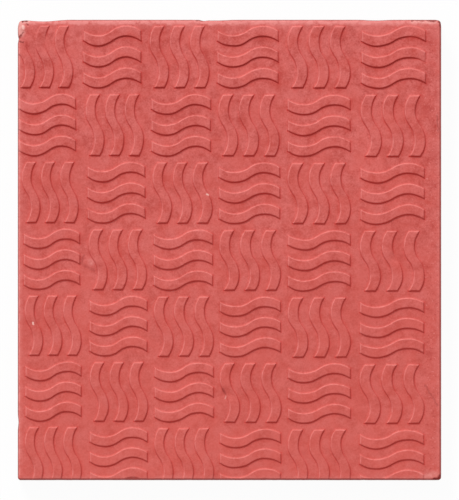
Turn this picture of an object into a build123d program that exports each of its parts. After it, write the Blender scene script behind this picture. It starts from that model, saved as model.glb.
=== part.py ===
"""Wet-cast concrete parking paver: one slab whose face is a basket weave of raised wave ribs.

Millimetres. The origin is the centre of the bedding face, +Z is up through the patterned face,
+X runs along the short side and +Y along the long side.
"""

import os

from build123d import *

# Slab, measured at the bedding face, which is its widest section
SLAB_WIDTH = 276.0
SLAB_LENGTH = 300.0
SLAB_THICKNESS = 25.0
CORNER_RADIUS = 2.5
SIDE_DRAFT = 2.0

# Eased rim: the sides lean in more steeply from a little below the ground between the ribs
RIM_HEIGHT = 2.8
RIM_DRAFT = 22.0

# Wave ribs: each side is two tangent arcs, in straight runs that keep to them within 0.1 mm
RIB_HEIGHT = 1.2
RIB_WIDTH = 6.3
RIB_LENGTH = 38.6
RIB_SWAY = 3.1
RIB_SPACING = 13.3
RIB_DRAFT = 12.0
RIBS_PER_CELL = 3
RUNS_PER_ARC = 6

# Cells of ribs, lying across and upright in turn, on the mould's pattern mat
COLUMN_PITCH = 43.2
ROW_PITCH = 43.3
COLUMNS = round(SLAB_WIDTH / COLUMN_PITCH)
ROWS = round(SLAB_LENGTH / ROW_PITCH)
MAT_CENTRE_X = -8.5
MAT_CENTRE_Y = -6.5

# The mat is uneven: its cells grow to the right and towards the top. Its columns spread at both
# sides, draw together towards the bottom, lean, and bow the more the further they lie from the
# bow's end. Its rows fan out and fall towards the right
COLUMN_GROWTH = 0.027
COLUMN_SPREAD = 0.010
COLUMN_TAPER = 0.005
COLUMN_LEAN = 0.0088
COLUMN_BOW = 0.05
BOW_END = 1.7
ROW_GROWTH = 0.009
ROW_TAPER = 0.0013
ROW_FALL = 0.0053


def slab():
    """The slab up to the ribs' tops: a rounded rectangle with drafted sides and an eased rim."""
    outline = RectangleRounded(SLAB_WIDTH, SLAB_LENGTH, CORNER_RADIUS)
    sides = extrude(outline, SLAB_THICKNESS - RIM_HEIGHT, taper=SIDE_DRAFT)
    rim = extrude(sides.faces().sort_by(Axis.Z)[-1], RIM_HEIGHT, taper=RIM_DRAFT)
    return sides + rim


def wave(length, sway):
    """Points along one full wave in +X: a hollow arc, then a crest arc, tangent where they meet."""
    quarter = length / 4
    hollow = ThreePointArc((-2 * quarter, 0), (-quarter, -sway), (0, 0))
    crest = ThreePointArc((0, 0), (quarter, sway), (2 * quarter, 0))
    steps = [n / RUNS_PER_ARC for n in range(RUNS_PER_ARC)]
    return [hollow @ t for t in steps] + [crest @ t for t in steps] + [crest @ 1]


def rib(length, sway, width):
    """A rib along +X on the ground: two like wave sides, cut straight at its ends, all drafted."""
    centre_line = wave(length, sway)
    half = Vector(0, width / 2)
    lower = [point - half for point in centre_line]
    upper = [point + half for point in reversed(centre_line)]
    upright = extrude(make_face(Polyline(*lower, *upper, close=True)), RIB_HEIGHT)
    walls = upright.faces().filter_by(Axis.Z, reverse=True)
    return draft(walls, neutral_plane=Plane.XY, angle=RIB_DRAFT)


def cell_centre(across, up):
    """Centre of a cell on the face, counted in cells from the mat's centre."""
    columns = across + COLUMN_GROWTH * across**2 / 2 + COLUMN_SPREAD * across**3 / 3
    rows = up + ROW_GROWTH * up**2 / 2
    x = COLUMN_PITCH * columns * (1 + COLUMN_TAPER * up)
    y = ROW_PITCH * rows * (1 + ROW_TAPER * across)
    bow = COLUMN_BOW * (BOW_END - across) * up**2
    return Vector(MAT_CENTRE_X + x - COLUMN_LEAN * y - bow, MAT_CENTRE_Y + y - ROW_FALL * x)


def cell_ribs(column, row):
    """A cell's ribs; cells with an odd sum of column and row lie across, and the others stand."""
    across = column - (COLUMNS - 1) / 2
    up = row - (ROWS - 1) / 2
    lies_across = (column + row) % 2 == 1
    stretches = (1 + COLUMN_GROWTH * across, 1 + ROW_GROWTH * up)
    along, aside = stretches if lies_across else reversed(stretches)
    pattern = rib(RIB_LENGTH * along, RIB_SWAY * aside, RIB_WIDTH * aside)
    centre = Location(cell_centre(across, up), (0, 0, 0 if lies_across else -90))
    steps = [n - (RIBS_PER_CELL - 1) / 2 for n in range(RIBS_PER_CELL)]
    return [centre * Pos(0, n * RIB_SPACING * aside) * pattern for n in steps]


def paver():
    """The slab cut down to the ground between the ribs, and the ribs, which its sides trim."""
    whole = slab()
    ground = Plane.XY.offset(SLAB_THICKNESS - RIB_HEIGHT)
    cells = [(column, row) for column in range(COLUMNS) for row in range(ROWS)]
    ribs = Compound([ground * each for cell in cells for each in cell_ribs(*cell)])
    return split(whole, bisect_by=ground, keep=Keep.BOTTOM) + (ribs & whole)


os.makedirs("parts", exist_ok=True)
export_step(paver(), "parts/paver.step")
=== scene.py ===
"""A red wet-cast concrete parking paver whose face is a basket weave of raised wave ribs.

Metres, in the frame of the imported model: the ribs lie where the solid has them, and the slab's sizes
are read from the frame. The face is a sheet of rib patches and ground, cut along the rim, closed by
sides and a back, and worn, chipped and pitted as an old casting is. The lists of single marks hold
millimetres, counted from the middle of the face.
"""
from math import cos, pi, radians, sin, tan

import bmesh
import bpy
import numpy as np
from mathutils import Euler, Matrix, Vector, geometry, noise


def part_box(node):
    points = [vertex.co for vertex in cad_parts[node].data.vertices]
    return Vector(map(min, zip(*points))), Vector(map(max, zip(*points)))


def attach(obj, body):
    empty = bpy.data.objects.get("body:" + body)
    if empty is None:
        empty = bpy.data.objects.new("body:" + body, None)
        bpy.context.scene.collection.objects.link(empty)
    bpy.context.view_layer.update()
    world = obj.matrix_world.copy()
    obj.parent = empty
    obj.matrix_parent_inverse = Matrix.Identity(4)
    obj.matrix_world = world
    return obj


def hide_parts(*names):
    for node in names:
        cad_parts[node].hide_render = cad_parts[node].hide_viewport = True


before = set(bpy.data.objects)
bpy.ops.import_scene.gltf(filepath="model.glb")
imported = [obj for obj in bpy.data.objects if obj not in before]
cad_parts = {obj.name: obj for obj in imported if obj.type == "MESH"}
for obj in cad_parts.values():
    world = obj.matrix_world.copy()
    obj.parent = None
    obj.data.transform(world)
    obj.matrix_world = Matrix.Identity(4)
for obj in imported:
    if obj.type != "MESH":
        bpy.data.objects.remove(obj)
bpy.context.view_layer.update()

MM = 0.001

# Slab
NODE_LOW, NODE_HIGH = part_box("paver")
HALF_WIDTH = (NODE_HIGH.x - NODE_LOW.x) / 2
HALF_LENGTH = (NODE_HIGH.y - NODE_LOW.y) / 2
FACE_TOP = NODE_HIGH.z
SIDE_DRAFT = radians(2.0)

# Corners of a rectangle in order round it, by the signs of x and y
CORNERS = ((1, 1), (-1, 1), (-1, -1), (1, -1))

# Wave ribs, of the solid's sizes
RIB_HEIGHT = 1.2 * MM
RIB_WIDTH = 6.3 * MM
RIB_LENGTH = 38.6 * MM
RIB_SWAY = 3.1 * MM
RIB_SPACING = 13.3 * MM
RIBS_PER_CELL = 3

# Cells of ribs on the mould's uneven pattern mat, where the solid has them
COLUMNS = 6
ROWS = 7
COLUMN_PITCH = 43.2 * MM
ROW_PITCH = 43.3 * MM
MAT_CENTRE_X = -8.5 * MM
MAT_CENTRE_Y = -6.5 * MM
COLUMN_GROWTH = 0.027
COLUMN_SPREAD = 0.010
COLUMN_TAPER = 0.005
COLUMN_LEAN = 0.0088
COLUMN_BOW = 0.05 * MM
BOW_END = 1.7
ROW_GROWTH = 0.009
ROW_TAPER = 0.0013
ROW_FALL = 0.0053

# A rib's rounded edge, from its foot to its top: reach outside the wall, share of the height, and
# shares of painted shade in the crease and of painted highlight on the edge
EDGE_PROFILE = (
    (0.90 * MM, 0.0, 0.2, 0.0),
    (0.52 * MM, 0.01, 0.8, 0.0),
    (0.25 * MM, 0.15, 1.0, 0.3),
    (0.0 * MM, 0.54, 0.8, 0.9),
    (-0.25 * MM, 0.88, 0.3, 1.0),
    (-0.50 * MM, 0.99, 0.0, 0.4),
    (-0.90 * MM, 1.0, 0.0, 0.0),
)
# Walls that face the key light get a painted highlight, the others painted shade, and every crease a
# little painted shade. Towards the top the painted shade under the ribs is deeper, and towards the
# bottom the ribs are lower
LIT_FROM = (-0.42, 0.91)
CREASE_SHADE = 0.35
HIGHLIGHT_GAIN = 2.2
SHADE_TREND = 1.0
RISE_TREND = 0.12

# Mesh of the ribs' tops and of the ground between the ribs, on a sheet that reaches past the outline
TOP_STEP_ALONG = 1.75 * MM
TOP_STEP_ASIDE = 1.8 * MM
GROUND_STEP = 2.6 * MM
GROUND_JITTER = 0.25
GROUND_CLEARANCE = 1.6 * MM
SHEET_MARGIN = 9.0 * MM
SHEET_REACH = (HALF_WIDTH + SHEET_MARGIN, HALF_LENGTH + SHEET_MARGIN)
WELD = 0.001 * MM
SEED = 7

# Columns of the sheet's points: the place, and shares of height, painted shade, and wear with painted
# highlight
PLACE = slice(0, 2)
SHARES = slice(2, None)

# Unevenness of the face: sideways wobble of the edges, and swells of its height by their size, which
# a margin under the top makes room for
WOBBLE = 0.28 * MM
WOBBLE_SIZE = 8.0 * MM
WOBBLE_LAYERS = (11.3, 27.9)
SWELLS = ((0.10 * MM, 30.0 * MM), (0.09 * MM, 11.0 * MM), (0.09 * MM, 5.0 * MM))
SWELL_LAYER = 3.7
TOP_MARGIN = 0.16 * MM

# Worn places of the face: place, reach, and share of the ribs' height that is lost
WORN_PLACES = (
    ((-131.5, 139.5), 13.0, 1.0),
    ((-119.5, 134.0), 7.5, 0.85),
    ((-110.0, 130.5), 5.0, 0.5),
    ((108.4, -5.2), 5.0, 0.9),
    ((126.0, 121.0), 7.0, 0.7),
    ((-89.0, 1.0), 6.0, 0.4),
    ((-2.0, -93.0), 4.5, 0.8),
    ((120.0, 144.0), 9.0, 0.4),
    ((-123.8, -47.3), 4.0, 0.7),
)

# Lumps and hollows that the mould left on the face: place, reach and height
LUMPS = (
    ((-126.0, 137.0), 7.0, 0.45),
    ((-126.0, -46.0), 3.0, 0.45),
    ((-122.6, -46.8), 2.5, -0.4),
    ((-116.0, 141.0), 4.0, 0.4),
    ((-90.4, -6.5), 3.5, 0.55),
    ((-94.3, -1.0), 3.5, -0.45),
    ((-86.0, -1.5), 4.0, 0.4),
    ((-92.5, 6.5), 3.5, -0.3),
    ((-4.5, -94.0), 3.0, -0.5),
    ((-10.0, -91.5), 4.5, 0.45),
    ((127.5, 118.0), 5.0, 0.5),
    ((121.5, 122.5), 4.0, 0.4),
    ((131.0, 100.0), 4.0, -0.35),
    ((132.0, 84.0), 3.0, -0.4),
    ((130.0, -60.0), 5.0, -0.3),
)

# Dark smears of pigment, and one painted shade: place, reach and strength
SMEARS = (
    ((-131.0, 132.6), 4.0, 1.0),
    ((-123.0, 130.0), 6.0, 0.9),
    ((-121.6, 144.6), 6.0, 0.7),
    ((-108.9, 128.1), 4.5, 0.9),
    ((-98.9, 141.4), 4.0, 0.7),
    ((-94.5, 5.5), 5.0, 0.8),
    ((-91.0, -2.0), 4.0, 0.9),
    ((-85.0, -10.0), 4.0, 0.6),
    ((126.5, 108.5), 7.0, 0.8),
    ((131.5, 120.5), 5.0, 0.7),
    ((125.0, 136.0), 6.0, 0.6),
    ((120.5, 92.0), 6.0, 0.9),
    ((-4.0, -91.5), 3.0, 0.8),
    ((48.5, -132.0), 5.0, 0.5),
    # Painted shade: this dark smear stands for the shade next to the raised lump at (-90.4, -6.5)
    ((-95.0, -5.0), 3.0, 1.0),
    ((-92.5, -11.0), 3.5, 0.9),
    ((-87.5, -13.0), 3.5, 0.8),
    ((111.5, -5.0), 4.0, 0.9),
    ((-124.0, -42.0), 3.0, 0.8),
    ((-131.6, 132.3), 2.5, 1.0),
    ((131.4, 134.9), 6.5, 0.9),
    ((133.0, 113.5), 3.0, 1.0),
    ((133.3, 100.8), 3.0, 1.0),
    ((128.8, 90.8), 6.0, 0.9),
    ((132.3, 61.9), 4.5, 0.9),
    ((132.6, 41.8), 4.5, 1.2),
    ((131.4, -40.9), 4.0, 0.7),
    ((130.0, -67.4), 5.0, 0.8),
    ((130.7, -94.0), 5.0, 0.6),
)

# Pale places, rubbed or limed: place, reach and strength
PALE_PLACES = (
    ((-136.0, 144.0), 4.5, 1.2),
    ((-134.5, 147.0), 3.0, 1.0),
    ((-89.5, -7.5), 2.6, 1.0),
    ((119.0, 147.6), 3.5, 1.0),
    ((125.0, 147.6), 3.5, 1.2),
    ((131.0, 147.4), 3.5, 1.2),
    ((131.0, -146.0), 5.0, 0.9),
    ((125.0, -147.0), 4.0, 0.7),
)

# Chips and dips of the outline, which run down the sides: place, reach along the rim, and bite
CHIPS = (
    ((-136.8, 148.8), 5.0, 0.9),
    ((-137.0, 137.0), 3.0, 0.8),
    ((-121.0, 149.2), 17.0, 1.0),
    ((-16.5, 149.2), 3.5, 0.6),
    ((-9.0, 149.2), 14.0, 0.4),
    ((95.0, 149.2), 12.0, 0.4),
    ((137.0, 148.8), 4.0, 0.5),
    ((-137.0, -112.0), 6.0, 0.5),
)

# Rim and sides: the sheet is cut inside the outline, rolls over the rim, runs down the sides and
# turns under. The cut's corners are rounded about their centres, by a few straight cuts each
CUT_INSET = 2.3 * MM
CUT_CORNER = 0.4 * MM
CORNER_CUTS = 4
CORNER_X = HALF_WIDTH - CUT_INSET - CUT_CORNER
CORNER_Y = HALF_LENGTH - CUT_INSET - CUT_CORNER
RIM_DEPTH = 1.9 * MM
RIM_FOOT = FACE_TOP - RIB_HEIGHT - RIM_DEPTH
RIM_REACH = CUT_INSET - RIM_FOOT * tan(SIDE_DRAFT)
WALL_ROWS = 8
BACK_LIP = 0.2 * MM
BACK_ROUND = 0.6 * MM
BACK_LAP = 2.4 * MM
SIDE_ROUGHNESS = 0.22 * MM
SIDE_GRAIN_SIZE = 5.0 * MM
BACK_STEP = 7.0 * MM

# Shares of painted highlight and of darkening in the rows over the rim, of painted shade on its shaded
# sides, of soil on the side walls, and of pale wear, paling and painted highlight next to the rim
RIM_HIGHLIGHT = (1.3, 0.7, 0.3, 0.1, 0.0)
RIM_DARKENING = (0.0, 0.15, 0.5, 0.9, 1.0)
RIM_ROWS = len(RIM_HIGHLIGHT)
RIM_SHADE = 0.6
SHADED_SIDE_DARKENING = 0.45
WALL_SOIL = 0.45
EDGE_WEAR = 0.35
EDGE_FADE = 2.0 * MM
TOP_PALING = 0.3
TOP_FADE = 7.0 * MM
# Painted highlight in a strip along the top edge
TOP_HIGHLIGHT = 1.8
TOP_HIGHLIGHT_FADE = 2.0 * MM

# Colours of the concrete, as they look in plain light
DEEP_RED = (0.455, 0.057, 0.047)
PALE_RED = (0.762, 0.188, 0.172)
WARM_RED = (0.626, 0.112, 0.088)
FULL_RED = (0.660, 0.092, 0.072)
SMUDGE_RED = (0.400, 0.032, 0.026)
# Painted shade on the ribs' shaded walls and creases, and deeper painted shade under them towards the
# top
SHADE_RED = (0.560, 0.038, 0.030)
DEEP_SHADE_RED = (0.260, 0.015, 0.012)
# Pale wear, and painted highlight on walls and rim that face the key light
WEAR_AND_HIGHLIGHT_RED = (0.800, 0.255, 0.235)
# Soil on the side walls, darkening down the rim, and painted shade on the rim's shaded sides
SOIL_AND_SHADE_GREY = (0.215, 0.082, 0.078)
LIME_WHITE = (0.950, 0.560, 0.500)
CHIP_RED = (0.190, 0.014, 0.011)

# Noise in the colour: size of its features, the values that become 0 and 1, detail and roughness
CLOUDS = (9.0 * MM, 0.32, 0.68, 5.0, 0.8)
GRAIN = (1.2 * MM, 0.0, 1.0, 3.0, 0.7)
PATCHES = (13.0 * MM, 0.38, 0.62, 3.0, 0.6)
DRIFTS = (60.0 * MM, 0.35, 0.70, 2.0, 0.5)
SMUDGES = (9.0 * MM, 0.56, 0.80, 4.0, 0.6)
PITS = (1.7 * MM, 0.60, 0.70, 2.0, 0.5)
FLECKS = (1.3 * MM, 0.62, 0.72, 2.0, 0.5)
RAGS = (2.5 * MM, 0.20, 0.65, 3.0, 0.5)

# Strength of each layer of colour, and the painted shade past which a crease takes the deeper painted
# shade
SPECKLE_SHARE = 1.3
WARM_SHARE = 0.5
PATCH_SHARE = 0.32
DRIFT_SHARE = 0.16
SMUDGE_SHARE = 0.3
SMEAR_SHARE = 0.6
PIT_SHARE = 0.5
FLECK_SHARE = 0.5
FULL_SHADE = 1.0

# The rough right margin of the face, where the pits and flecks gather, and their share elsewhere
MARGIN_FROM = 122.0 * MM
MARGIN_TO = 129.0 * MM
MARGIN_FLOOR = 0.12

# Finish of the surface
SHINE = 0.2
ROUGHNESS = (0.55, 0.70)
BUMP_STRENGTH = 0.12
BUMP_DEPTH = 0.2 * MM

# Short ragged strokes of other colour on the face: start, end, half width and strength. Heights are
# squashed for them, so that they reach over the ribs' walls and the rim
RAGGED = 2.4 * MM
RAGGED_SIZE = 2.0 * MM
RAGGED_DETAIL = 3.0
STROKE_SQUASH = 0.3
STROKE_SOFTNESS = 0.6
LIME_STROKES = (
    ((-134.0, 145.2), (-133.6, 143.8), 0.9, 0.9),
    ((-136.6, 147.0), (-135.2, 141.0), 2.2, 0.35),
    ((-134.5, 147.6), (-130.5, 147.7), 0.8, 0.4),
    ((-127.4, -47.0), (-127.2, -47.7), 0.5, 1.0),
    ((-14.4, 36.1), (-13.9, 35.9), 0.5, 0.9),
    ((-2.4, -94.7), (-2.8, -96.4), 0.4, 0.6),
    ((118.0, 147.6), (133.5, 147.4), 0.7, 0.3),
    ((128.0, -146.8), (134.0, -145.0), 1.8, 0.10),
    ((-90.5, -6.5), (-88.8, -8.5), 1.2, 0.06),
)
DARK_STROKES = (
    ((-134.2, 148.2), (-131.3, 148.6), 0.7, 1.0),
    ((-131.2, 146.3), (-130.7, 146.0), 0.5, 0.7),
    ((-133.9, 140.7), (-135.2, 139.1), 0.5, 0.7),
    ((-135.2, 139.1), (-136.4, 137.6), 0.7, 0.9),
    ((-133.6, 134.9), (-135.8, 134.9), 0.5, 0.8),
    ((-21.5, 148.9), (-17.6, 148.8), 0.6, 0.9),
    ((118.0, 148.8), (126.0, 148.8), 0.5, 0.9),
    ((128.0, 148.7), (133.6, 148.6), 0.6, 0.9),
    ((135.8, 147.6), (136.6, 145.0), 0.6, 0.8),
    ((132.6, -148.3), (135.2, -147.9), 0.7, 1.0),
    ((135.2, -147.9), (136.4, -146.2), 0.8, 1.0),
    ((-4.4, -89.8), (-2.7, -93.4), 0.6, 0.4),
    ((-94.6, -3.9), (-95.9, -8.4), 0.9, 0.3),
    ((-95.6, -9.1), (-87.8, -13.0), 0.9, 0.2),
    ((126.8, -87.5), (134.6, -100.5), 0.6, 0.3),
    ((134.6, 87.5), (135.2, 76.5), 0.5, 0.4),
)

# Camera: square on from above, with the outline as tall in the picture as it is in the photo
CAMERA_HEIGHT = 4.0
SENSOR = 36.0
PICTURE_HEIGHT_PX = 500
OUTLINE_HEIGHT_PX = 460.4

# Light: a soft key from the top and a little from the left, and an even fill
KEY_AZIMUTH = radians(111)
KEY_ELEVATION = radians(38)
KEY_SOFTNESS = radians(18)
KEY_SHARE = 0.42
FILL_SHARE = 0.59
FLOOR_HALF = 4.0
FLOOR_GAP = 0.2 * MM
FLOOR_WHITE = (0.9, 0.9, 0.9)
FLOOR_GLOW = 0.95
PLAIN_WHITE = (1.0, 1.0, 1.0)

# What a triangulation covers: the hull of its points, or the inside of its loop
FILL_HULL = 0
FILL_LOOP = 1

# Sockets of a mix of colours, by number, because other kinds of mix share their names
MIX_SHARE = 0
MIX_UNDER = 6
MIX_OVER = 7
MIX_RESULT = 2


def wave(u, length, sway):
    """A rib's swing at u along it: a hollow arc, then a crest arc, tangent where they meet."""
    quarter = length / 4
    radius = (quarter**2 + sway**2) / (2 * sway)
    reach = np.minimum(np.abs(u), 2 * quarter)
    return np.sign(u) * (np.sqrt(radius**2 - (reach - quarter)**2) - (radius - sway))


def cell_centre(across, up):
    """Centre of a cell on the face, counted in cells from the mat's centre."""
    columns = across + COLUMN_GROWTH * across**2 / 2 + COLUMN_SPREAD * across**3 / 3
    rows = up + ROW_GROWTH * up**2 / 2
    x = COLUMN_PITCH * columns * (1 + COLUMN_TAPER * up)
    y = ROW_PITCH * rows * (1 + ROW_TAPER * across)
    bow = COLUMN_BOW * (BOW_END - across) * up**2
    return MAT_CENTRE_X + x - COLUMN_LEAN * y - bow, MAT_CENTRE_Y + y - ROW_FALL * x


class Rib:
    """One rib, with its own directions: u along it, and v aside from its middle line."""

    def __init__(self, column, row, number):
        across = column - (COLUMNS - 1) / 2
        up = row - (ROWS - 1) / 2
        stretches = (1 + COLUMN_GROWTH * across, 1 + ROW_GROWTH * up)
        self.lies_across = (column + row) % 2 == 1
        along, aside = stretches if self.lies_across else reversed(stretches)
        self.centre_x, self.centre_y = cell_centre(across, up)
        self.length = RIB_LENGTH * along
        self.width = RIB_WIDTH * aside
        self.sway = RIB_SWAY * aside
        self.step = (number - (RIBS_PER_CELL - 1) / 2) * RIB_SPACING * aside

    def to_face(self, u, v):
        """Place on the face of a point of the rib."""
        aside = v + self.step + wave(u, self.length, self.sway)
        if self.lies_across:
            return self.centre_x + u, self.centre_y + aside
        return self.centre_x + aside, self.centre_y - u

    def turned(self, along, aside):
        """A direction along and aside of the rib, as a direction on the face."""
        return (along, aside) if self.lies_across else (aside, -along)

    def from_face(self, x, y):
        """A point of the face in the rib's own directions."""
        if self.lies_across:
            u, aside = x - self.centre_x, y - self.centre_y
        else:
            u, aside = self.centre_y - y, x - self.centre_x
        return u, aside - self.step - wave(u, self.length, self.sway)


def painted_light_shares(outward_x, outward_y, y=0.0):
    """Shares of painted shade and of painted highlight on a wall that faces outward, at y on the face.
    """
    facing = outward_x * LIT_FROM[0] + outward_y * LIT_FROM[1]
    painted_shade = np.clip(CREASE_SHADE - (1 - CREASE_SHADE) * facing, 0, 1)
    # Deeper painted shade under the ribs towards the top
    trend = 1 + SHADE_TREND * np.maximum(y, 0) / HALF_LENGTH * np.maximum(-outward_y, 0)
    return painted_shade * trend, np.clip(HIGHLIGHT_GAIN * facing, 0, 1)


def grid_lines(half, step):
    """Lines across a rib, close together on its edges, and shares of height, painted shade and painted
    highlight there.
    """
    reach, rise, painted_shade, wear_and_highlight = np.array(EDGE_PROFILE).T
    reach = reach + half
    count = round(2 * reach[-1] / step)
    inner = np.linspace(-reach[-1], reach[-1], count + 1)[1:-1]
    plain = np.zeros(len(inner))
    places = np.concatenate([-reach, inner, reach[::-1]])
    shares = [np.concatenate([s, plain + s[-1], s[::-1]]) for s in (rise, painted_shade, wear_and_highlight)]
    return places, shares


def rib_patch(rib):
    """A rib as a grid: points with shares of height, painted shade and painted highlight, its quads and
    its foot loop.
    """
    u, (rise_u, shade_u, highlight_u) = grid_lines(rib.length / 2, TOP_STEP_ALONG)
    v, (rise_v, shade_v, highlight_v) = grid_lines(rib.width / 2, TOP_STEP_ASIDE)
    x, y = rib.to_face(*np.meshgrid(u, v, indexing="ij"))
    rise = np.outer(rise_u, rise_v) * np.minimum(1 + RISE_TREND * y / HALF_LENGTH, 1)
    slope = np.gradient(wave(u, rib.length, rib.sway), u)
    aside = np.outer(1 / np.sqrt(1 + slope**2), np.sign(v))
    # Painted light: walls that face the key light get a painted highlight, the others painted shade
    side_shade, side_highlight = painted_light_shares(*rib.turned(-slope[:, None] * aside, aside), y)
    end_shade, end_highlight = painted_light_shares(*rib.turned(np.sign(u)[:, None], 0.0), y)
    side_shade = side_shade * shade_v * (rise_u > 0)[:, None]
    end_shade = end_shade * shade_u[:, None] * (rise_v > 0)
    painted_shade = np.maximum(side_shade, end_shade)
    wear_and_highlight = np.maximum(side_highlight * highlight_v, end_highlight * highlight_u[:, None]) * rise
    index = np.arange(x.size).reshape(x.shape)
    corners = (index[:-1, :-1], index[1:, :-1], index[1:, 1:], index[:-1, 1:])
    quads = np.stack(corners, axis=-1).reshape(-1, len(corners))
    foot = np.concatenate([index[:, 0], index[-1, 1:], index[-2::-1, -1], index[0, -2:0:-1]])
    columns = (x, y, rise, painted_shade, wear_and_highlight)
    return np.stack(columns, axis=-1).reshape(-1, len(columns)), quads, foot


def ground_points(ribs):
    """Jittered points on the ground, clear of every rib."""
    draw = np.random.default_rng(SEED)
    reach_x, reach_y = SHEET_REACH
    across = np.arange(-reach_x, reach_x, GROUND_STEP)
    up = np.arange(-reach_y, reach_y, GROUND_STEP)
    x, y = (grid.ravel() for grid in np.meshgrid(across, up))
    x = x + draw.uniform(-GROUND_JITTER, GROUND_JITTER, x.size) * GROUND_STEP
    y = y + draw.uniform(-GROUND_JITTER, GROUND_JITTER, y.size) * GROUND_STEP
    free = (np.abs(x) < reach_x - GROUND_STEP) & (np.abs(y) < reach_y - GROUND_STEP)
    for rib in ribs:
        u, v = rib.from_face(x, y)
        beside = np.abs(v) < rib.width / 2 + GROUND_CLEARANCE
        free &= ~((np.abs(u) < rib.length / 2 + GROUND_CLEARANCE) & beside)
    return np.column_stack([x[free], y[free]])


def lay_ribs(ribs):
    """All the ribs laid out flat: their points, their quads and each rib's foot loop."""
    points, quads, feet = [], [], []
    count = 0
    for rib in ribs:
        patch, patch_quads, foot = rib_patch(rib)
        points.append(patch)
        quads.extend((patch_quads + count).tolist())
        feet.append(foot + count)
        count += len(patch)
    return np.concatenate(points), quads, feet


def lay_ground(ribs, feet):
    """The ground laid out flat round the points of the ribs' feet: its points and triangles."""
    rows = np.concatenate(feet)
    ends = np.cumsum([len(foot) for foot in feet])
    loops = [list(range(end - len(foot), end)) for end, foot in zip(ends, feet)]
    corners = np.array(CORNERS) * SHEET_REACH
    places = np.concatenate([rows[:, PLACE], ground_points(ribs), corners])
    places = [Vector(place) for place in places]
    spread, _, fills, sources, _, owners = geometry.delaunay_2d_cdt(places, [], loops, FILL_HULL, WELD)
    ground = np.zeros((len(spread), rows.shape[1]))
    ground[:, PLACE] = spread
    for row, origin in zip(ground, sources):
        if origin and origin[0] < len(rows):
            row[SHARES] = rows[origin[0], SHARES]
    return ground, [fill for fill, owner in zip(fills, owners) if not owner]


def flat_sheet():
    """The face laid out flat: rows of x, y and shares of height, painted shade, and wear with painted
    highlight, and the faces.
    """
    cells = [(column, row) for column in range(COLUMNS) for row in range(ROWS)]
    ribs = [Rib(*cell, number) for cell in cells for number in range(RIBS_PER_CELL)]
    laid, faces, feet = lay_ribs(ribs)
    ground, fills = lay_ground(ribs, [laid[foot] for foot in feet])
    faces.extend([n + len(laid) for n in fill] for fill in fills)
    return np.concatenate([laid, ground]), faces


def field(places, size, layer):
    """Smooth noise from -1 to 1 at each place of the face."""
    return np.array([noise.noise(Vector((x / size, y / size, layer))) for x, y in places])


def dome(places, centre, reach):
    """A smooth dome over a place given in millimetres: 1 at its centre and 0 from its reach on."""
    distance = np.hypot(*(places - np.array(centre) * MM).T)
    return np.clip(1 - (distance / (reach * MM))**2, 0, None)**2


def domes(places, marks):
    """The sum of domes given by place, reach and strength."""
    return sum(strength * dome(places, centre, reach) for centre, reach, strength in marks)


def edge_wear_and_highlight(places):
    """Pale wear next to the cut of the rim: a little all round, paler towards the top edge, and a
    painted highlight in a strip along the top.
    """
    x, y = places.T
    inset = np.minimum(HALF_WIDTH - np.abs(x), HALF_LENGTH - np.abs(y)) - CUT_INSET
    top_inset = HALF_LENGTH - y - CUT_INSET
    around = EDGE_WEAR * np.maximum(1 - inset / EDGE_FADE, 0)
    top = TOP_PALING * np.maximum(1 - top_inset / TOP_FADE, 0)
    # Painted highlight in a strip along the top edge
    highlight_strip = TOP_HIGHLIGHT * np.maximum(1 - top_inset / TOP_HIGHLIGHT_FADE, 0)
    return np.maximum(around, np.maximum(top, highlight_strip))


def face_sheet():
    """The face in relief as a mesh: wobbling edges, worn ribs and an uneven surface."""
    sheet, faces = flat_sheet()
    places = sheet[:, PLACE]
    rise, painted_shade, wear_and_highlight = sheet[:, SHARES].T
    for centre, reach, lost in WORN_PLACES:
        left = 1 - lost * np.sqrt(dome(places, centre, reach))
        rise, painted_shade, wear_and_highlight = rise * left, painted_shade * left, wear_and_highlight * left
    height = FACE_TOP - TOP_MARGIN - RIB_HEIGHT * (1 - rise)
    for layer, (swell, size) in enumerate(SWELLS):
        height += swell * field(places, size, SWELL_LAYER * layer)
    height = np.minimum(height + MM * domes(places, LUMPS), FACE_TOP)
    smear = domes(places, SMEARS)
    wear_and_highlight = wear_and_highlight + domes(places, PALE_PLACES)
    wobble = [field(places, WOBBLE_SIZE, layer) for layer in WOBBLE_LAYERS]
    places = places + WOBBLE * np.column_stack(wobble)
    mesh = bpy.data.meshes.new("paver_face")
    mesh.from_pydata(np.column_stack([places, height]).tolist(), [], faces)
    wear_and_highlight = np.maximum(wear_and_highlight, edge_wear_and_highlight(places))
    shares = {"painted_shade": painted_shade, "wear_and_highlight": wear_and_highlight, "smear": smear, "soil_and_shade": np.zeros(len(places))}
    for name, values in shares.items():
        mesh.attributes.new(name, "FLOAT", "POINT").data.foreach_set("value", values)
    return mesh


def cut_planes():
    """A point and the outward direction of each plane that the sheet is cut by, round the rim."""
    for quarter, (right, up) in enumerate(CORNERS):
        centre = Vector((right * CORNER_X, up * CORNER_Y, 0))
        for step in range(CORNER_CUTS):
            angle = (quarter + step / CORNER_CUTS) * pi / 2
            outward = Vector((cos(angle), sin(angle), 0))
            yield centre + CUT_CORNER * outward, outward


def outward_at(x, y):
    """Direction out of the slab at a point of its rim: straight out of a side, or round a corner."""
    inside_x = max(-CORNER_X, min(CORNER_X, x))
    inside_y = max(-CORNER_Y, min(CORNER_Y, y))
    return Vector((x - inside_x, y - inside_y, 0)).normalized()


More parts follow.
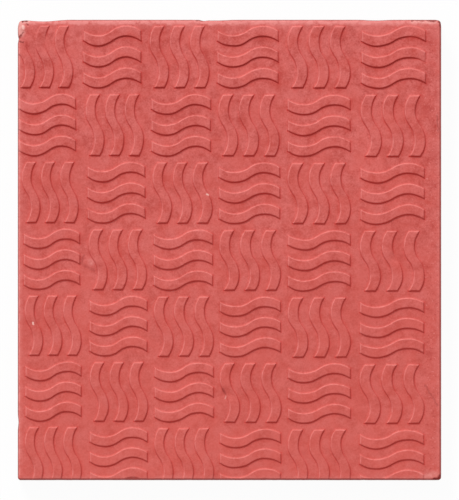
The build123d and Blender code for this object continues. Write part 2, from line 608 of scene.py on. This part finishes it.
def rim_loop(form):
    """The sheet's boundary vertices, in order round the rim."""
    border = [edge for edge in form.edges if edge.is_boundary]
    lower_middle = Vector((0, -HALF_LENGTH, 0))
    first = min(border, key=lambda edge: (edge.verts[0].co - lower_middle).length)
    loop = list(first.verts)
    left = set(border) - {first}
    while loop[-1] is not loop[0]:
        onward = next(edge for edge in loop[-1].link_edges if edge in left)
        left.discard(onward)
        loop.append(onward.other_vert(loop[-1]))
    return loop[:-1]


def side_rows(top):
    """Reach outward and height of each row below a rim point at height top, rim to back."""
    rows = []
    for step in range(1, RIM_ROWS + 1):
        turn = step / RIM_ROWS * pi / 2
        rows.append((RIM_REACH * sin(turn), RIM_FOOT + (top - RIM_FOOT) * cos(turn)))
    for step in range(1, WALL_ROWS + 1):
        height = RIM_FOOT + (BACK_ROUND - RIM_FOOT) * step / WALL_ROWS
        rows.append((CUT_INSET - height * tan(SIDE_DRAFT), height))
    rows.append((CUT_INSET - BACK_LIP, BACK_LIP))
    rows.append((CUT_INSET - BACK_ROUND, 0.0))
    rows.append((CUT_INSET - BACK_LAP, 0.0))
    return rows


def side_shares(row, outward):
    """Shares of painted highlight, of soiling, darkening and painted shade, and of painted shade in a
    row of the sides that faces outward.
    """
    in_shade, facing_light = painted_light_shares(outward.x, outward.y)
    if row < RIM_ROWS:
        # Painted highlight on the rim where it faces the key light, painted shade on its shaded sides
        return RIM_HIGHLIGHT[row] * facing_light, max(RIM_DARKENING[row], SHADED_SIDE_DARKENING * in_shade), RIM_SHADE * in_shade
    return 0.0, WALL_SOIL, RIM_SHADE * in_shade


def side_place(top, outward, bite, reach, height):
    """A place on the sides, at a reach and a height from a rim point, rough and bitten inwards."""
    place = Vector((top.x, top.y, height)) + outward * reach
    rough = abs(noise.noise(place / SIDE_GRAIN_SIZE)) if height > 0 else 0.0
    bitten = bite * min(reach / RIM_REACH, 1)
    return place - outward * (SIDE_ROUGHNESS * rough + bitten)


def bridge(form, upper, lower):
    """A row of faces between two loops."""
    for n in range(len(upper)):
        onward = (n + 1) % len(upper)
        form.faces.new((upper[n], lower[n], lower[onward], upper[onward]))


def add_sides(form, loop):
    """Rows of faces over the rim and down the sides; returns the loop that they end in."""
    layers = [form.verts.layers.float[name] for name in ("wear_and_highlight", "soil_and_shade", "painted_shade")]
    tops = [vert.co.copy() for vert in loop]
    outwards = [outward_at(vert.co.x, vert.co.y) for vert in loop]
    columns = [side_rows(top.z) for top in tops]
    rims = np.array([(top + outward * CUT_INSET).to_2d() for top, outward in zip(tops, outwards)])
    bites = MM * domes(rims, CHIPS)
    for row, steps in enumerate(zip(*columns)):
        lower = []
        for top, outward, bite, step in zip(tops, outwards, bites, steps):
            vert = form.verts.new(side_place(top, outward, bite, *step))
            for layer, share in zip(layers, side_shares(row, outward)):
                vert[layer] = share
            lower.append(vert)
        bridge(form, loop, lower)
        loop = lower
    return loop


def add_back(form, loop):
    """The flat back, as triangles between the last loop and a coarse grid of points."""
    ring = [vert.co.to_2d() for vert in loop]
    inner_x = HALF_WIDTH - BACK_STEP
    inner_y = HALF_LENGTH - BACK_STEP
    across = np.linspace(-inner_x, inner_x, round(2 * inner_x / BACK_STEP))
    up = np.linspace(-inner_y, inner_y, round(2 * inner_y / BACK_STEP))
    inner = [Vector((x, y)) for x in across for y in up]
    border = [list(range(len(ring)))]
    spread, _, fills, sources, _, _ = geometry.delaunay_2d_cdt(ring + inner, [], border, FILL_LOOP, WELD)
    verts = []
    for place, source in zip(spread, sources):
        on_ring = [n for n in source if n < len(ring)]
        verts.append(loop[on_ring[0]] if on_ring else form.verts.new((*place, 0.0)))
    for fill in fills:
        form.faces.new([verts[n] for n in reversed(fill)])


def paver_mesh():
    """The whole casting as one closed mesh."""
    mesh = face_sheet()
    form = bmesh.new()
    form.from_mesh(mesh)
    bmesh.ops.remove_doubles(form, verts=form.verts, dist=WELD)
    for place, outward in cut_planes():
        everything = form.verts[:] + form.edges[:] + form.faces[:]
        bmesh.ops.bisect_plane(form, geom=everything, dist=WELD, plane_co=place, plane_no=outward,
                               clear_outer=True)
    back_loop = add_sides(form, rim_loop(form))
    add_back(form, back_loop)
    bmesh.ops.recalc_face_normals(form, faces=form.faces)
    for face in form.faces:
        face.smooth = True
    form.to_mesh(mesh)
    form.free()
    return mesh


def add_object(name, data):
    """A new object in the scene."""
    made = bpy.data.objects.new(name, data)
    bpy.context.scene.collection.objects.link(made)
    return made


def new_material(name):
    """A new material, and its tree of nodes."""
    material = bpy.data.materials.new(name)
    material.use_nodes = True
    return material, material.node_tree


def opaque(colour):
    """A colour with its full opacity."""
    return (*colour, 1.0)


def add_node(tree, kind, inputs, **settings):
    """A node with its settings, and its inputs by name or number as values or links."""
    node = tree.nodes.new(kind)
    for name, value in settings.items():
        setattr(node, name, value)
    for key, value in inputs.items():
        if isinstance(value, bpy.types.NodeSocket):
            tree.links.new(value, node.inputs[key])
        else:
            node.inputs[key].default_value = value
    return node


def stretched(tree, value, low, high, floor=0.0, top=1.0):
    """A value stretched so that low becomes floor and high becomes top, and clipped there."""
    inputs = {"Value": value, "From Min": low, "From Max": high, "To Min": floor, "To Max": top}
    return add_node(tree, "ShaderNodeMapRange", inputs).outputs["Result"]


def noise_mask(tree, coords, layer):
    """A mask of noise by its size, the values that become 0 and 1, detail and roughness."""
    size, low, high, detail, roughness = layer
    inputs = {"Vector": coords, "Scale": 1 / size, "Detail": detail, "Roughness": roughness}
    return stretched(tree, add_node(tree, "ShaderNodeTexNoise", inputs).outputs["Fac"], low, high)


def arithmetic(tree, operation, *terms):
    """One step of arithmetic on masks."""
    return add_node(tree, "ShaderNodeMath", dict(enumerate(terms)), operation=operation).outputs["Value"]


def vector_step(tree, operation, *terms, result="Vector"):
    """One step of arithmetic on places."""
    node = add_node(tree, "ShaderNodeVectorMath", dict(enumerate(terms)), operation=operation)
    return node.outputs[result]


def tint(tree, under, over, *masks):
    """Colour over laid on colour under where all the masks say so."""
    share = masks[0]
    for mask in masks[1:]:
        share = arithmetic(tree, "MULTIPLY", share, mask)
    under = under if isinstance(under, bpy.types.NodeSocket) else opaque(under)
    inputs = {MIX_SHARE: share, MIX_UNDER: under, MIX_OVER: opaque(over)}
    return add_node(tree, "ShaderNodeMix", inputs, data_type="RGBA").outputs[MIX_RESULT]


def mix_shaders(tree, share, *shaders):
    """Two shaders, mixed by the share of the second."""
    inputs = dict(enumerate((share, *shaders)))
    return add_node(tree, "ShaderNodeMixShader", inputs).outputs["Shader"]


def one_stroke(tree, places, start, end, half_width, strength):
    """A mask of one soft-edged stroke over squashed places, from start to end on the face."""
    level = (FACE_TOP - RIB_HEIGHT / 2) * STROKE_SQUASH
    first = Vector((start[0] * MM, start[1] * MM, level))
    run = Vector((end[0] * MM, end[1] * MM, level)) - first
    past = vector_step(tree, "SUBTRACT", places, first)
    share = vector_step(tree, "DOT_PRODUCT", past, run / run.length_squared, result="Value")
    nearest = vector_step(tree, "MULTIPLY", run, stretched(tree, share, 0.0, 1.0))
    away = vector_step(tree, "DISTANCE", past, nearest, result="Value")
    soft = STROKE_SOFTNESS * half_width
    return stretched(tree, away, (half_width + soft) * MM, (half_width - soft) * MM, top=strength)


def stroke_mask(tree, coords, strokes):
    """A mask of short ragged strokes on the face."""
    inputs = {"Vector": coords, "Scale": 1 / RAGGED_SIZE, "Detail": RAGGED_DETAIL}
    ragged = add_node(tree, "ShaderNodeTexNoise", inputs).outputs["Color"]
    shift = vector_step(tree, "MULTIPLY_ADD", ragged, (RAGGED,) * 3, (-RAGGED / 2,) * 3)
    moved = vector_step(tree, "ADD", coords, shift)
    places = vector_step(tree, "MULTIPLY", moved, (1.0, 1.0, STROKE_SQUASH))
    total = 0.0
    for stroke in strokes:
        total = arithmetic(tree, "MAXIMUM", one_stroke(tree, places, *stroke), total)
    return total


def vertex_mask(tree, name):
    """A share stored on the mesh's points."""
    return add_node(tree, "ShaderNodeAttribute", {}, attribute_name=name).outputs["Fac"]


def mottled_red(tree, coords, clouds, grain):
    """The pigment's red: clouded and speckled, warmer towards the bottom, patchy and smudged."""
    up = add_node(tree, "ShaderNodeSeparateXYZ", {"Vector": coords}).outputs["Y"]
    warmth = stretched(tree, up, HALF_LENGTH, -HALF_LENGTH)
    speckle = arithmetic(tree, "MULTIPLY_ADD", grain, SPECKLE_SHARE, -SPECKLE_SHARE / 2)
    colour = tint(tree, DEEP_RED, PALE_RED, arithmetic(tree, "ADD", clouds, speckle))
    colour = tint(tree, colour, WARM_RED, warmth, WARM_SHARE)
    colour = tint(tree, colour, FULL_RED, noise_mask(tree, coords, PATCHES), PATCH_SHARE)
    colour = tint(tree, colour, DEEP_RED, noise_mask(tree, coords, DRIFTS), DRIFT_SHARE)
    return tint(tree, colour, SMUDGE_RED, noise_mask(tree, coords, SMUDGES), SMUDGE_SHARE)


def weathered_with_light_and_shade(tree, coords, colour):
    """A colour with painted shade, smears, a rough margin, worn paleness with painted highlight, soiling
    with darkening and painted shade, lime and chips laid on it.
    """
    across = add_node(tree, "ShaderNodeSeparateXYZ", {"Vector": coords}).outputs["X"]
    margin = stretched(tree, across, MARGIN_FROM, MARGIN_TO, floor=MARGIN_FLOOR)
    rags = noise_mask(tree, coords, RAGS)
    painted_shade = vertex_mask(tree, "painted_shade")
    deep_shade = stretched(tree, painted_shade, FULL_SHADE, FULL_SHADE + SHADE_TREND)
    # Painted shade on the ribs' shaded walls and creases, deeper under the ribs towards the top
    colour = tint(tree, colour, SHADE_RED, painted_shade)
    colour = tint(tree, colour, DEEP_SHADE_RED, deep_shade)
    colour = tint(tree, colour, SMUDGE_RED, vertex_mask(tree, "smear"), rags, SMEAR_SHARE)
    colour = tint(tree, colour, SMUDGE_RED, noise_mask(tree, coords, PITS), margin, PIT_SHARE)
    colour = tint(tree, colour, WEAR_AND_HIGHLIGHT_RED, noise_mask(tree, coords, FLECKS), margin, FLECK_SHARE)
    # Pale wear, and painted highlight where walls and rim face the key light
    colour = tint(tree, colour, WEAR_AND_HIGHLIGHT_RED, vertex_mask(tree, "wear_and_highlight"), rags)
    # Soil on the sides, darkening down the rim, and painted shade on the rim's shaded sides
    colour = tint(tree, colour, SOIL_AND_SHADE_GREY, vertex_mask(tree, "soil_and_shade"))
    colour = tint(tree, colour, LIME_WHITE, stroke_mask(tree, coords, LIME_STROKES))
    return tint(tree, colour, CHIP_RED, stroke_mask(tree, coords, DARK_STROKES))


def concrete():
    """Red-pigmented concrete, clouded and weathered, with painted shade and highlights, and a fine
    grain.
    """
    material, tree = new_material("red_concrete_cast")
    coords = add_node(tree, "ShaderNodeTexCoord", {}).outputs["Object"]
    clouds = noise_mask(tree, coords, CLOUDS)
    grain = noise_mask(tree, coords, GRAIN)
    colour = weathered_with_light_and_shade(tree, coords, mottled_red(tree, coords, clouds, grain))
    roughness = stretched(tree, clouds, 0.0, 1.0, *ROUGHNESS)
    inputs = {"Height": grain, "Strength": BUMP_STRENGTH, "Distance": BUMP_DEPTH}
    relief = add_node(tree, "ShaderNodeBump", inputs).outputs["Normal"]
    shader = tree.nodes["Principled BSDF"]
    shader.inputs["Specular IOR Level"].default_value = SHINE
    tree.links.new(colour, shader.inputs["Base Color"])
    tree.links.new(roughness, shader.inputs["Roughness"])
    tree.links.new(relief, shader.inputs["Normal"])
    return material


def seen_directly(tree):
    """A mask of what the camera sees, also through glass or in a mirror."""
    path = add_node(tree, "ShaderNodeLightPath", {})
    straight = arithmetic(tree, "MAXIMUM", path.outputs["Is Camera Ray"], path.outputs["Is Glossy Ray"])
    return arithmetic(tree, "MAXIMUM", straight, path.outputs["Is Transmission Ray"])


def floor_material():
    """White floor that shows white to the camera and keeps a light shadow."""
    material, tree = new_material("white_floor")
    tree.nodes.remove(tree.nodes["Principled BSDF"])
    plain = add_node(tree, "ShaderNodeBsdfDiffuse", {"Color": opaque(FLOOR_WHITE)}).outputs["BSDF"]
    glow = add_node(tree, "ShaderNodeEmission", {"Color": opaque(PLAIN_WHITE)}).outputs["Emission"]
    share = arithmetic(tree, "MULTIPLY", seen_directly(tree), FLOOR_GLOW)
    surface = mix_shaders(tree, share, plain, glow)
    tree.links.new(surface, tree.nodes["Material Output"].inputs["Surface"])
    return material


def add_floor():
    """The floor under the paver."""
    corners = [(FLOOR_HALF * x, FLOOR_HALF * y, -FLOOR_GAP) for x, y in CORNERS]
    mesh = bpy.data.meshes.new("floor")
    mesh.from_pydata(corners, [], [range(len(corners))])
    mesh.materials.append(floor_material())
    floor = add_object("floor", mesh)


def add_key():
    """A soft far lamp that gives a level face its share of the light."""
    key = bpy.data.lights.new("key", "SUN")
    key.angle = KEY_SOFTNESS
    key.energy = KEY_SHARE * pi / sin(KEY_ELEVATION)
    lamp = add_object("key", key)
    lamp.rotation_euler = Euler((0, pi / 2 - KEY_ELEVATION, KEY_AZIMUTH))


def add_fill():
    """An even white fill from all round, behind which the camera sees plain white."""
    world = bpy.data.worlds.new("studio")
    bpy.context.scene.world = world
    world.use_nodes = True
    tree = world.node_tree
    fill = tree.nodes["Background"]
    fill.inputs["Color"].default_value = opaque(PLAIN_WHITE)
    fill.inputs["Strength"].default_value = FILL_SHARE
    backdrop = add_node(tree, "ShaderNodeBackground", {"Color": opaque(PLAIN_WHITE)})
    outputs = [node.outputs["Background"] for node in (fill, backdrop)]
    surface = mix_shaders(tree, seen_directly(tree), *outputs)
    tree.links.new(surface, tree.nodes["World Output"].inputs["Surface"])


def add_camera():
    """A long lens straight above the paver."""
    outline = 2 * (HALF_LENGTH - RIM_FOOT * tan(SIDE_DRAFT))
    picture = outline * PICTURE_HEIGHT_PX / OUTLINE_HEIGHT_PX
    data = bpy.data.cameras.new("camera")
    data.sensor_width = SENSOR
    data.lens = SENSOR * (CAMERA_HEIGHT - RIM_FOOT) / picture
    data.clip_end = 2 * CAMERA_HEIGHT
    camera = add_object("camera", data)
    camera.location = (0, 0, CAMERA_HEIGHT)
    bpy.context.scene.camera = camera


paver = add_object("paver_cast", paver_mesh())
paver.data.materials.append(concrete())
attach(paver, "root")
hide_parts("paver")
add_floor()
add_key()
add_fill()
add_camera()
bpy.context.scene.view_settings.view_transform = "Standard"
